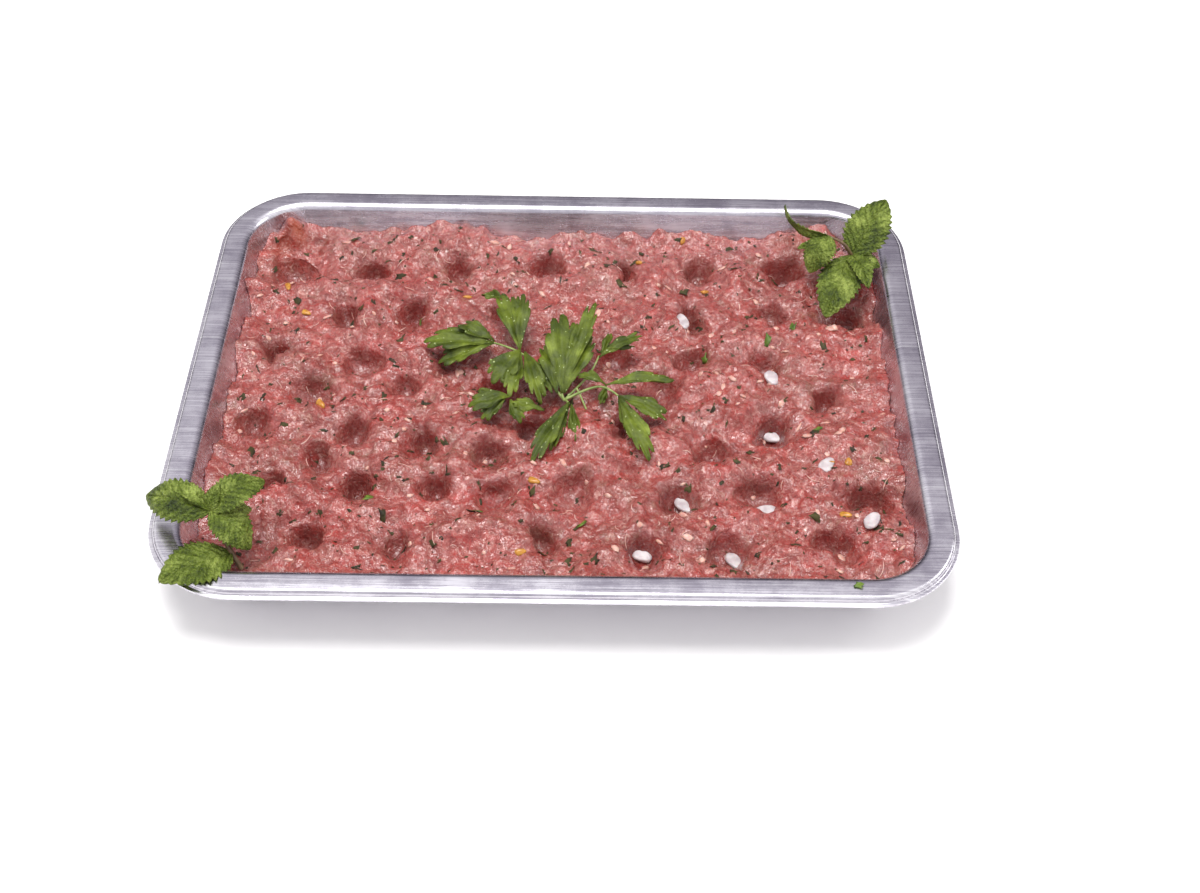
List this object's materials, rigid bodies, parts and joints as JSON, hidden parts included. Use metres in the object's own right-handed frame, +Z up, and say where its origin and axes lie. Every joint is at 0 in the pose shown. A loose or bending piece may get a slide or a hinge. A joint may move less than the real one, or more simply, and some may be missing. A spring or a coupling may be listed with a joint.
{
  "type": "tray of raw kofta mince",
  "caption": "Shallow rounded rectangular metal tray filled with raw minced meat, its top dimpled by fingertips, with mint tops at two corners and a parsley sprig in the middle.",
  "frame": {"origin": "centre of the tray's underside", "axes": "+X along the tray's long side, +Y towards the back, +Z up"},
  "size_m": [0.304, 0.232, 0.0484],
  "materials": {
    "tray_metal": "brushed",
    "raw_mince": "moist",
    "mint": "satin",
    "parsley": "satin"
  },
  "bodies": {
    "root": {"tray": "tray_metal", "mince": "raw_mince", "mint_front": "mint", "mint_back": "mint", "parsley": "parsley"}
  },
  "joints": []
}
